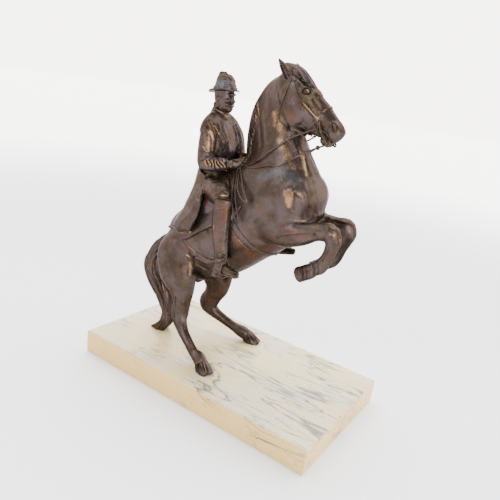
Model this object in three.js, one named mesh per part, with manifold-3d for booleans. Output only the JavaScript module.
// An equestrian statuette: a rider in hat, coat and riding boots on a horse that stands raised
// on its hind legs, cast in bronze as one piece, on a rectangular slab of veined marble.
// Millimetres, +X the way the horse faces, +Y its left side, +Z up, origin under the slab's middle.
import * as THREE from "three";
import { mergeVertices } from "three/addons/utils/BufferGeometryUtils.js";
import Module from "manifold-3d";

const wasm = await Module();
wasm.setup();

// Driving dimensions
const plinthLength = 325;
const plinthWidth = 180;
const plinthThickness = 30;
const plinthChamfer = 1.2;
const figureHeight = 358; // plinth top to ear tip
const raisedPitch = 42; // degrees that the horse's back is raised from level
const headPitch = -39; // degrees from poll to nose

// The figure is drawn in its own units, hooves on zero and ear tip at drawnHeight.
const drawnHeight = 358;
const figureScale = figureHeight / drawnHeight;

// Vector sums
const add = (a, b, k = 1) => a.map((v, i) => v + k * b[i]);
const dot = (a, b) => a.reduce((sum, v, i) => sum + v * b[i], 0);
const unit = (a) => a.map((v) => v / Math.hypot(...a));
const cross = ([a, b, c], [d, e, f]) => [b * f - c * e, c * d - a * f, a * e - b * d];

// A closed solid from points and triangles, its faces turned outwards.
function solidFrom(points, faces) {
  const geometry = new THREE.BufferGeometry();
  geometry.setAttribute("position", new THREE.Float32BufferAttribute(points.flat(), 3));
  geometry.setIndex(faces.flat());
  const welded = mergeVertices(geometry);
  const vertProperties = welded.attributes.position.array;
  const corner = (i) => Array.from(vertProperties.slice(3 * i, 3 * i + 3));
  const triVerts = Uint32Array.from(welded.index.array);
  let volume = 0;
  for (let i = 0; i < triVerts.length; i += 3) {
    volume += dot(corner(triVerts[i]), cross(corner(triVerts[i + 1]), corner(triVerts[i + 2])));
  }
  if (volume < 0) triVerts.reverse();
  return new wasm.Manifold(new wasm.Mesh({ numProp: 3, vertProperties, triVerts }));
}

const join = (solids) => solids.reduce((whole, solid) => whole.add(solid));

// A row of a table at t from 0 to 1, every column carried smoothly through the rows.
function along(rows, t) {
  const place = Math.min(Math.max(t, 0), 1) * (rows.length - 1);
  const i = Math.min(Math.floor(place), rows.length - 2);
  const f = place - i;
  const row = (n) => rows[Math.min(Math.max(n, 0), rows.length - 1)];
  return rows[0].map((_, c) => {
    const [a, b, d, e] = [row(i - 1)[c], row(i)[c], row(i + 1)[c], row(i + 2)[c]];
    return b + 0.5 * f * (d - a + f * (2 * a - 5 * b + 4 * d - e + f * (3 * (b - d) + e - a)));
  });
}

// A limb: oval sections square to a curve, with rounded ends. Each row holds the section's middle,
// its half width across, its half depth, and how much wider it is above its middle than below.
// The two domes say how far the first and last ends bulge, as shares of their half width.
function limb(rows, { sides = 12, steps = 10, across = [0, 1, 0], domes = [0.5, 0.5], turn = 0, carve }) {
  const points = [];
  const domeRing = 0.7;
  const stations = domes[0] > 0 ? [[0, -domeRing]] : [];
  for (let i = 0; i <= steps; i++) stations.push([i / steps, 0]);
  if (domes[1] > 0) stations.push([1, domeRing]);
  const frameAt = (t) => {
    const row = along(rows, t);
    const ahead = along(rows, t + 0.01);
    const behind = along(rows, t - 0.01);
    const run = unit(add(ahead, behind, -1).slice(0, 3));
    const side = unit(add(across, run, -dot(across, run)));
    return { row, run, side, up: cross(run, side) };
  };
  for (const [t, h] of stations) {
    const { row, run, side, up } = frameAt(t);
    const [x, y, z, width, depth, wider = 0] = row;
    const shrink = Math.sqrt(1 - h * h);
    const middle = add([x, y, z], run, h * domes[t] * Math.min(width, depth) || 0);
    for (let j = 0; j < sides; j++) {
      const angle = turn + (2 * Math.PI * j) / sides;
      const swell = shrink * (carve ? carve(t, angle) : 1);
      const out = width * Math.cos(angle) * (1 + wider * Math.sin(angle)) * swell;
      points.push(add(add(middle, side, out), up, depth * Math.sin(angle) * swell));
    }
  }
  const faces = [];
  const rings = stations.length;
  for (let i = 0; i < rings - 1; i++) {
    for (let j = 0; j < sides; j++) {
      const [a, b] = [i * sides + j, i * sides + ((j + 1) % sides)];
      faces.push([a, b, b + sides], [a, b + sides, a + sides]);
    }
  }
  for (const [t, ring] of [[0, 0], [1, rings - 1]]) {
    const { row, run } = frameAt(t);
    const reach = domes[t] * Math.min(row[3], row[4]) * (t === 0 ? -1 : 1);
    points.push(add(row.slice(0, 3), run, reach));
    for (let j = 0; j < sides; j++) {
      const pair = [ring * sides + j, ring * sides + ((j + 1) % sides)];
      faces.push(t === 0 ? [pair[1], pair[0], points.length - 1] : [...pair, points.length - 1]);
    }
  }
  return solidFrom(points, faces);
}

// A strap: a flat strip of four sides along a curve, its width laid along wide.
function strap(path, { width, thickness, wide, steps }) {
  const rows = path.map((point) => [...point, Math.SQRT1_2 * width, Math.SQRT1_2 * thickness]);
  return limb(rows, { sides: 4, steps, across: wide, domes: [0, 0], turn: Math.PI / 4 });
}

// A sheet of even thickness through a net of points, such as a coat's skirt.
function sheet(net, { thickness, columns = 10, rows = 10, carve = () => 0 }) {
  const at = (u, v) => {
    const curve = net.map((line) => along(line, u));
    return along(curve, v);
  };
  const points = [];
  for (const side of [1, -1]) {
    for (let i = 0; i <= rows; i++) {
      for (let j = 0; j <= columns; j++) {
        const [u, v] = [j / columns, i / rows];
        const across = add(at(Math.min(u + 0.02, 1), v), at(Math.max(u - 0.02, 0), v), -1);
        const down = add(at(u, Math.min(v + 0.02, 1)), at(u, Math.max(v - 0.02, 0)), -1);
        const normal = unit(cross(across, down));
        points.push(add(at(u, v), normal, (side * thickness) / 2 + carve(u, v)));
      }
    }
  }
  const index = (side, i, j) => side * (rows + 1) * (columns + 1) + i * (columns + 1) + j;
  const faces = [];
  const quad = (a, b, c, d) => faces.push([a, b, c], [a, c, d]);
  for (let i = 0; i < rows; i++) {
    for (let j = 0; j < columns; j++) {
      quad(index(0, i, j), index(0, i, j + 1), index(0, i + 1, j + 1), index(0, i + 1, j));
      quad(index(1, i + 1, j), index(1, i + 1, j + 1), index(1, i, j + 1), index(1, i, j));
    }
  }
  for (let j = 0; j < columns; j++) {
    quad(index(1, 0, j), index(1, 0, j + 1), index(0, 0, j + 1), index(0, 0, j));
    quad(index(0, rows, j), index(0, rows, j + 1), index(1, rows, j + 1), index(1, rows, j));
  }
  for (let i = 0; i < rows; i++) {
    quad(index(0, i, 0), index(0, i + 1, 0), index(1, i + 1, 0), index(1, i, 0));
    quad(index(1, i, columns), index(1, i + 1, columns), index(0, i + 1, columns), index(0, i, columns));
  }
  return solidFrom(points, faces);
}

// An egg of three half sizes, turned in the plane of x and z
function blob(place, sizes, degrees = 0) {
  const egg = new THREE.SphereGeometry(1, 9, 6).rotateX(Math.PI / 2).scale(...sizes);
  egg.rotateY((-degrees * Math.PI) / 180).translate(...place);
  return manifoldOf(egg);
}

// The same egg on both sides of the middle
function blobs([x, y, z], sizes, degrees = 0) {
  return [blob([x, y, z], sizes, degrees), blob([x, -y, z], sizes, degrees)];
}

const flipSide = (rows) => rows.map(([x, y, ...rest]) => [x, -y, ...rest]);
const shift = (rows, by) => rows.map((row) => [...add(row.slice(0, 3), by), ...row.slice(3)]);
// The rider's far leg hangs a little farther forward and higher than the near one.
const toFarLeg = (rows) => shift(flipSide(rows), [8, -1, 7]);

// Rows drawn along a line through a point, turned by an angle in the plane of x and z.
function turned(rows, [x, z], degrees) {
  const [c, s] = [Math.cos((degrees * Math.PI) / 180), Math.sin((degrees * Math.PI) / 180)];
  return rows.map(([a, y, b, ...rest]) => [x + a * c - b * s, y, z + a * s + b * c, ...rest]);
}
const onTrunk = (rows) => turned(rows, [-30, 160], raisedPitch);
const onHead = (rows) => turned(rows, [24, 346], headPitch);

// Horse: trunk, neck and head
function trunk() {
  const barrel = onTrunk([
    [-97, 0, 17, 24, 19, 0],
    [-85, 0, 9, 36, 30, 0.05],
    [-64, 0, 2, 42, 40, 0.05],
    [-36, 0, -3, 43, 45, 0],
    [-6, 0, -5, 45, 49.5, -0.08],
    [26, 0, -3, 44, 52.5, -0.12],
    [56, 0, 0, 40, 56, -0.2],
    [82, 0, 0, 37, 50, -0.15],
    [104, 0, -8, 34, 39, -0.05],
    [118, 0, -14, 24, 24, 0],
  ]);
  const haunches = blobs([-94, -22, 120], [19, 20, 30], -20);
  const shoulders = blobs([59, -20, 212], [22, 17, 27], -20);
  return join([limb(barrel, { sides: 17, steps: 13, domes: [0.5, 0.75] }), ...haunches, ...shoulders]);
}

function neck() {
  const rows = [
    [38, 0, 200, 33, 50, -0.3],
    [33.5, 0, 232, 29, 44, -0.35],
    [26, 0, 257, 23.5, 37, -0.4],
    [20.5, 0, 280, 18.5, 32.5, -0.4],
    [19, 0, 300, 15.5, 30, -0.4],
    [24, 0, 318, 13.5, 26, -0.3],
    [35, 0, 331, 12, 18, -0.1],
  ];
  return limb(rows, { sides: 14, steps: 8 });
}

function head() {
  const rows = onHead([
    [4, 0, -7, 12.5, 13, 0.1],
    [20, 0, -8.5, 15.5, 19.5, 0.1],
    [36, 0, -9, 15.5, 22, 0.05],
    [50, 0, -7, 13, 21, 0],
    [62, 0, -3.2, 10.5, 17.3, 0],
    [74, 0, -1.5, 9, 13.5, 0],
    [84, 0, -1.3, 8.8, 11.2, 0],
    [91, 0, -2, 7.5, 7.5, 0],
  ]);
  const [cheek] = onHead([[37.5, -6.5, -16.5]]);
  const [nostril] = onHead([[82, -5, 2]]);
  const [brow] = onHead([[35, -9.5, 7]]);
  const [forelock] = onHead([[24, 0, 9]]);
  return join([
    limb(rows, { sides: 12, steps: 11 }),
    ...blobs(cheek, [20, 9.8, 17.5], headPitch),
    ...blobs(nostril, [6.5, 4.6, 5.2], headPitch),
    ...blobs(brow, [8, 5.5, 5], headPitch),
    blob(forelock, [20, 7, 7.4], headPitch - 12),
  ]);
}

function ears() {
  const right = [
    [30, -8, 337, 4.2, 4.5],
    [24.5, -9, 345.5, 4.2, 4],
    [18.5, -9.5, 352.5, 3, 2.8],
    [14, -9, 357.5, 0.7, 0.7],
  ];
  const left = [
    [31, 8, 338, 4.2, 4.5],
    [29, 11, 346, 4, 4],
    [26, 13, 352, 3, 2.6],
    [23, 14, 356, 0.7, 0.7],
  ];
  return [right, left].map((rows) => limb(rows, { sides: 6, steps: 4 }));
}

// Hind legs, each one curve from the haunch by the hock and the fetlock to the hoof
function hindLegs() {
  const right = [
    [-90, -20, 128, 20, 30],
    [-84, -27, 112, 21, 34],
    [-69, -33, 96, 18, 27],
    [-62, -33, 77, 13, 18],
    [-61.5, -33, 59, 9.5, 12],
    [-61, -34, 44, 8, 12.6],
    [-53, -37, 33, 6.8, 8.2],
    [-42, -41, 24, 5.4, 5.8],
    [-21, -48, 14, 5, 5.3],
    [-9, -52, 12, 6.8, 7.4],
    [-4.5, -53, 8.5, 6.2, 6.4],
    [-2, -53.5, 6, 8, 8.4],
    [6, -55, -4, 9.8, 11.2],
  ];
  const left = [
    [-88, 20, 124, 20, 30],
    [-78, 27, 106, 20, 33],
    [-60, 31, 88, 17, 27],
    [-55, 31, 70, 13, 20],
    [-60, 30, 54, 9.5, 13.5],
    [-65, 30, 40, 8, 14.5],
    [-54.5, 32, 30, 6.8, 8.2],
    [-43, 36, 24, 5.4, 6],
    [-28, 40, 18, 5, 5.4],
    [-13, 46, 11.5, 6.8, 7.4],
    [-8.5, 48, 8.5, 6.2, 6.4],
    [-6, 49.5, 6, 8, 8.4],
    [2, 53, -4, 9.8, 11.2],
  ];
  return [right, left].map((rows) => limb(rows, { sides: 11, steps: 17 }));
}

// Foreleg, folded at the knee, with its hoof turned back
function foreLegs() {
  const upper = [
    [36, -22, 200, 16, 28],
    [58, -25, 186, 13, 17],
    [80, -25, 187.5, 10, 11.5],
    [100, -25, 194, 7.5, 8.5],
    [115, -25, 199, 8, 8.5],
  ];
  const lower = [
    [117, -25, 200, 7.5, 8],
    [119, -25, 189, 6.5, 7.5],
    [118, -25, 177, 5.2, 6],
    [115.5, -25, 166, 5.2, 6],
    [112, -25, 158, 6.6, 7.4],
    [106, -25, 155.5, 6, 6.2],
    [102, -25, 153.8, 8, 7.8],
    [90, -25, 147.5, 9.5, 9.5],
  ];
  const leg = (place) => [
    limb(place(upper), { sides: 12, steps: 7 }),
    limb(place(lower), { sides: 11, steps: 12, domes: [0.5, 0] }),
  ];
  const kneeHeight = 199;
  const fold = (z) => -0.14 * Math.max(kneeHeight - z, 0);
  const left = (rows) => flipSide(rows).map(([x, y, z, ...sizes]) => [x + fold(z) - 3, y - 2, z - 3, ...sizes]);
  return [...leg((rows) => rows), ...leg(left)];
}

// Tail, in locks that wind down to the plinth
function tail() {
  const rows = [
    [-120, 0, 114, 8, 9],
    [-134, -1, 101, 10.5, 10.5],
    [-139.5, -3, 84, 13, 12],
    [-134, -4, 67, 13, 11.5],
    [-118, -5, 48, 12, 10],
    [-104, -7, 31, 10, 8.5],
    [-101, -10, 16, 10, 7],
    [-108, -13, 1, 13, 7.5],
  ];
  const locks = (t, angle) => 1 + 0.07 * Math.sin(5 * angle + 9 * t);
  return limb(rows, { sides: 15, steps: 11, carve: locks });
}

// Rider: torso, collar, head and hat
function rider() {
  const torso = [
    [-57, 0, 194, 22, 20],
    [-57, 0, 212, 19, 17],
    [-57.5, 0, 226, 17.5, 15.5],
    [-57, 0, 248, 19.5, 17.5],
    [-58, 0, 266, 21, 17],
    [-60, 0, 279, 19, 12.5],
    [-61, 0, 287, 11, 9.5],
  ];
  const collar = [
    [-60.5, 0, 284, 10.5, 11],
    [-60, 0, 291, 9.3, 10.5],
    [-60, 0, 296, 9, 10],
  ];
  const face = [
    [-58, 0, 294, 7.5, 9],
    [-53.5, 0, 299, 9.3, 10.8],
    [-54.5, 0, 306, 10.5, 12.8],
    [-57, 0, 314, 11.3, 14.6],
    [-59, 0, 320, 9, 11],
  ];
  const crown = [
    [-58, 0, 317, 12.5, 15.2],
    [-59, 0, 323, 12, 14.2],
    [-62, 0, 328.5, 10.5, 11],
    [-64.5, 0, 332, 7.5, 7],
  ];
  const brim = [
    [-59, 0, 315.4, 16.2, 19.6],
    [-59, 0, 317.4, 16.6, 20.2],
  ];
  return [
    limb(torso, { sides: 12, steps: 7 }),
    limb(collar, { sides: 12, steps: 2, domes: [0, 0] }),
    limb(face, { sides: 12, steps: 6 }),
    limb(crown, { sides: 14, steps: 4 }),
    limb(brim, { sides: 18, steps: 1, domes: [0, 0] }),
  ];
}

// Arms: sleeve to the elbow, forearm and cuff, gloved hand
function arms() {
  const right = [
    [
      [-59, -17, 279, 9, 10],
      [-57, -24, 267, 9.3, 10.3],
      [-55, -27, 250, 8.2, 9],
      [-53, -28, 238, 7.5, 8],
    ],
    [
      [-54, -28, 236, 7, 7],
      [-44, -27, 236, 7.2, 7],
      [-33, -24, 238, 6.5, 6.2],
      [-24, -20, 240, 6, 5.6],
    ],
    [
      [-23, -20, 240, 4, 4.2],
      [-16, -15, 241.5, 3.8, 5.2],
      [-10, -9, 242, 3.5, 4.2],
    ],
  ];
  const left = [
    [
      [-54, 17, 279, 9, 10],
      [-51, 25, 266, 9.3, 10.3],
      [-48, 29, 250, 8.2, 9],
      [-46, 30, 240, 7.5, 8],
    ],
    [
      [-47, 30, 238, 7, 7],
      [-40, 26, 240, 7.2, 7],
      [-33, 19, 243, 6.5, 6.2],
      [-26, 13, 245, 6, 5.6],
    ],
    [
      [-25, 12, 245, 4, 4.2],
      [-19, 7, 246.5, 3.8, 5.2],
      [-13, 3, 246, 3.5, 4.2],
    ],
  ];
  const arm = (parts) => parts.map((rows) => limb(rows, { sides: 8, steps: 3 }));
  return [...arm(right), ...arm(left)];
}

// Rider's thighs, boots and feet
function riderLegs() {
  const thigh = [
    [-56, -12, 203, 12, 14],
    [-38, -24, 204, 12, 13],
    [-20, -35, 202, 10.5, 11.5],
    [-4, -42, 197, 8.5, 9],
  ];
  const boot = [
    [-5, -43, 196, 8.3, 9.3],
    [-4, -46, 187, 8, 9],
    [-3, -48, 172, 7.3, 8.3],
    [1, -49, 156, 6.2, 7],
    [5, -50, 142, 5.6, 6.2],
    [4, -50, 129, 5.5, 7],
  ];
  const foot = [
    [1, -49.5, 126, 5, 6.5],
    [10, -51, 131, 5, 7],
    [20, -53, 132, 5.2, 4.8],
    [28, -54, 133, 4.2, 3.4],
  ];
  const leg = (place) => [
    limb(place(thigh), { sides: 9, steps: 4 }),
    limb(place(boot), { sides: 9, steps: 6 }),
    limb(place(foot), { sides: 8, steps: 3 }),
  ];
  return [...leg((rows) => rows), ...leg(toFarLeg)];
}

// Coat skirts spread over the horse's loins, in long folds, with the saddle cloth under them
function coatSkirts() {
  const net = [
    [[-72, -1, 224], [-69, -11, 222], [-61, -17, 220], [-46, -17, 215]],
    [[-77, -1, 203], [-70, -16, 199], [-59, -27, 199], [-44, -31, 201]],
    [[-88, -2, 181], [-79, -19, 176], [-64, -36, 176], [-42, -43, 183]],
    [[-107, -5, 151], [-96, -26, 144], [-73, -42, 146], [-47, -47, 160]],
  ];
  const fold = (u, v) => 1.1 * v * Math.sin(14 * u);
  const clothNet = onTrunk([
    [-46, -38, 15],
    [-20, -45, 4],
    [16, -47, -2],
    [20, -44, 14],
    [-14, -42, 20],
    [-40, -36, 26],
  ]);
  const [a, b, c, d, e, f] = clothNet;
  const cloth = [[f, e, d], [a, b, c]];
  const side = (turn) => [
    sheet(net.map(turn), { thickness: 3.2, columns: 9, rows: 4, carve: fold }),
    sheet(cloth.map(turn), { thickness: 4, columns: 5, rows: 2 }),
  ];
  return [...side((rows) => rows), ...side(flipSide)];
}

// Directions along the head, square to its face, and along the barrel
const [poll, noseward, browward] = onHead([[0, 0, 0], [1, 0, 0], [0, 0, 1]]);
const alongHead = add(noseward, poll, -1);
const offFace = add(browward, poll, -1);
const [loin, foreward] = onTrunk([[0, 0, 0], [1, 0, 0]]);
const alongTrunk = add(foreward, loin, -1);

// Bridle of flat straps on both sides of the head, and the cheeks of the bit
function bridle() {
  const strip = { width: 2.6, thickness: 2 };
  const cheekpiece = onHead([[18, -15.5, 2], [32, -17.2, 0], [48, -15, -1.5], [66, -10.2, -4]]);
  const noseband = onHead([[61, 0, 14.6], [61, -7, 12], [61, -10.8, 3], [61, -10, -10], [60, 0, -20]]);
  const browband = onHead([[18, -15.5, 3], [17, -13.5, 10], [17, 0, 16]]);
  const throatLash = onHead([[14, -15, 2], [20, -16, -14], [32, -15.5, -30], [42, -14, -36], [52, -3, -37]]);
  const bitCheek = onHead([[66, -10.5, -4], [72, -10, -11], [85, -8.5, -19]]);
  const side = (turn) => [
    strap(turn(cheekpiece), { ...strip, wide: offFace, steps: 3 }),
    strap(turn(noseband), { ...strip, wide: alongHead, steps: 6 }),
    strap(turn(browband), { ...strip, wide: alongHead, steps: 3 }),
    strap(turn(throatLash), { ...strip, wide: [0.2, 1, 0], steps: 5 }),
    strap(turn(bitCheek), { ...strip, wide: alongHead, steps: 2 }),
  ];
  return [...side((rows) => rows), ...side(flipSide)];
}

// Reins: two strips on each side, from the hands to the bit, and their slack over the thigh
function reins() {
  const strip = { width: 2.4, thickness: 1.8, wide: [-0.3, 0, 1], steps: 7 };
  const nearUpper = [
    [-8, -11, 242], [1.5, -18.5, 243], [16, -23.5, 253.5], [29, -24.8, 264.5],
    [38, -22.6, 272.5], [47, -18.8, 281.5], [58, -14.5, 288], [73, -10.5, 297.5],
  ];
  const nearLower = [
    [-8, -11, 241], [3, -20, 241.5], [17, -25.5, 245.5], [31, -28, 250.5],
    [45.5, -27.5, 253.5], [58, -19.5, 265.5], [68, -13.5, 272.5], [79, -9, 280],
  ];
  const toFarHand = ([x, y, z], i) => (i === 0 ? [x - 3, 4, z + 5] : [x, -y, z]);
  const held = [nearUpper, nearLower];
  const far = held.map((path) => path.map(toFarHand));
  const slack = [
    [[-9, -13, 240], [2.4, -31, 225], [9, -37.8, 215], [16, -41.3, 207], [20, -42.8, 201]],
    [[-12, -15, 239], [-3, -31, 222], [5, -42, 204], [10, -44.8, 193], [13.5, -45.4, 183.5]],
  ];
  return [...held, ...far, ...slack].map((path) => strap(path, strip));
}

// Girth round the barrel, saddle flap before the rider's knee, stirrup and its leather
function saddlery() {
  const girth = onTrunk([[43, -43, 6], [43, -42.8, -14], [44, -36, -34], [45, -20, -49], [46, 0, -55]]);
  const flap = [
    onTrunk([[34, -20, 46], [44, -21.5, 45.5], [52, -24, 43]]),
    onTrunk([[32, -34.5, 30], [44, -35, 29], [54, -36.5, 25]]),
    onTrunk([[30, -42.5, 14], [43, -42.8, 12], [53, -42.5, 8]]),
    onTrunk([[28, -45, 2], [39, -45.5, -2], [48, -44.5, -3]]),
  ];
  const iron = [
    [9, -50, 144], [9.5, -56, 138], [10, -58, 129], [10, -56, 123], [10, -51, 122],
    [10, -46, 123], [10, -44, 129], [9.5, -46, 138], [9, -50, 144],
  ];
  const leather = [[-4, -43.5, 195], [4, -45, 175], [7, -47, 158], [9, -49, 143]];
  const side = (turn, legTurn) => [
    strap(turn(girth), { width: 12, thickness: 2.4, wide: alongTrunk, steps: 7 }),
    sheet(flap.map(turn), { thickness: 2.6, columns: 2, rows: 4 }),
    strap(legTurn(iron), { width: 3.6, thickness: 1.6, wide: [1, 0, 0], steps: 8 }),
    strap(legTurn(leather), { width: 4, thickness: 1.8, wide: [1, 0, 0], steps: 3 }),
  ];
  return [...side((rows) => rows, (rows) => rows), ...side(flipSide, toFarLeg)];
}

// Mane, close along the crest in short locks
function mane() {
  const rows = [
    [-9, 0, 244, 5, 5],
    [-9.5, 0, 268, 5, 5.5],
    [-9, 0, 292, 5, 5.5],
    [-3.5, 0, 312, 5, 5.5],
    [8, 0, 330, 4.5, 5],
    [21, 0, 340, 4, 4.5],
  ];
  const locks = (t) => 1 + 0.1 * Math.sin(66 * t);
  return limb(rows, { sides: 6, steps: 22, carve: locks });
}

// Everything below the hooves is cut off, so that they stand flat.
function cutFlat(solid) {
  const depth = 40;
  const ground = new THREE.BoxGeometry(2 * drawnHeight, drawnHeight, depth);
  ground.translate(0, 0, -depth / 2);
  return solid.subtract(manifoldOf(ground));
}

function manifoldOf(geometry) {
  geometry.deleteAttribute("normal");
  geometry.deleteAttribute("uv");
  const welded = mergeVertices(geometry);
  const vertProperties = welded.attributes.position.array;
  const triVerts = Uint32Array.from(welded.index.array);
  return new wasm.Manifold(new wasm.Mesh({ numProp: 3, vertProperties, triVerts }));
}

function horseAndRider() {
  const parts = [
    trunk(), neck(), mane(), head(), ...ears(), ...hindLegs(), ...foreLegs(), tail(),
    ...rider(), ...arms(), ...riderLegs(), ...coatSkirts(),
    ...bridle(), ...reins(), ...saddlery(),
  ];
  return cutFlat(join(parts));
}

// Marble slab, its edges broken by a narrow chamfer
function marblePlinth() {
  const [length, width] = [plinthLength / 2 - plinthChamfer, plinthWidth / 2 - plinthChamfer];
  const outline = new THREE.Shape([
    new THREE.Vector2(-length, -width),
    new THREE.Vector2(length, -width),
    new THREE.Vector2(length, width),
    new THREE.Vector2(-length, width),
  ]);
  const slab = new THREE.ExtrudeGeometry(outline, {
    depth: plinthThickness - 2 * plinthChamfer,
    bevelThickness: plinthChamfer,
    bevelSize: plinthChamfer,
    bevelSegments: 1,
  });
  return slab.translate(0, 0, plinthChamfer);
}

function meshOf(name, geometry, material) {
  const mesh = new THREE.Mesh(geometry, new THREE.MeshStandardMaterial(material));
  mesh.name = name;
  return mesh;
}

function geometryOf(solid) {
  const { vertProperties, triVerts } = solid.getMesh();
  const geometry = new THREE.BufferGeometry();
  geometry.setAttribute("position", new THREE.BufferAttribute(vertProperties, 3));
  geometry.setIndex(new THREE.BufferAttribute(triVerts, 1));
  return geometry;
}

const bronze = { color: "#4a3a33", roughness: 0.42, metalness: 0.9 };
const marble = { color: "#e6decb", roughness: 0.35, metalness: 0 };

const statuette = new THREE.Group();
const figure = meshOf("horse_and_rider", geometryOf(horseAndRider()), bronze);
figure.scale.setScalar(figureScale);
figure.position.z = plinthThickness;
statuette.add(figure);
statuette.add(meshOf("marble_plinth", marblePlinth(), marble));

export default statuette;
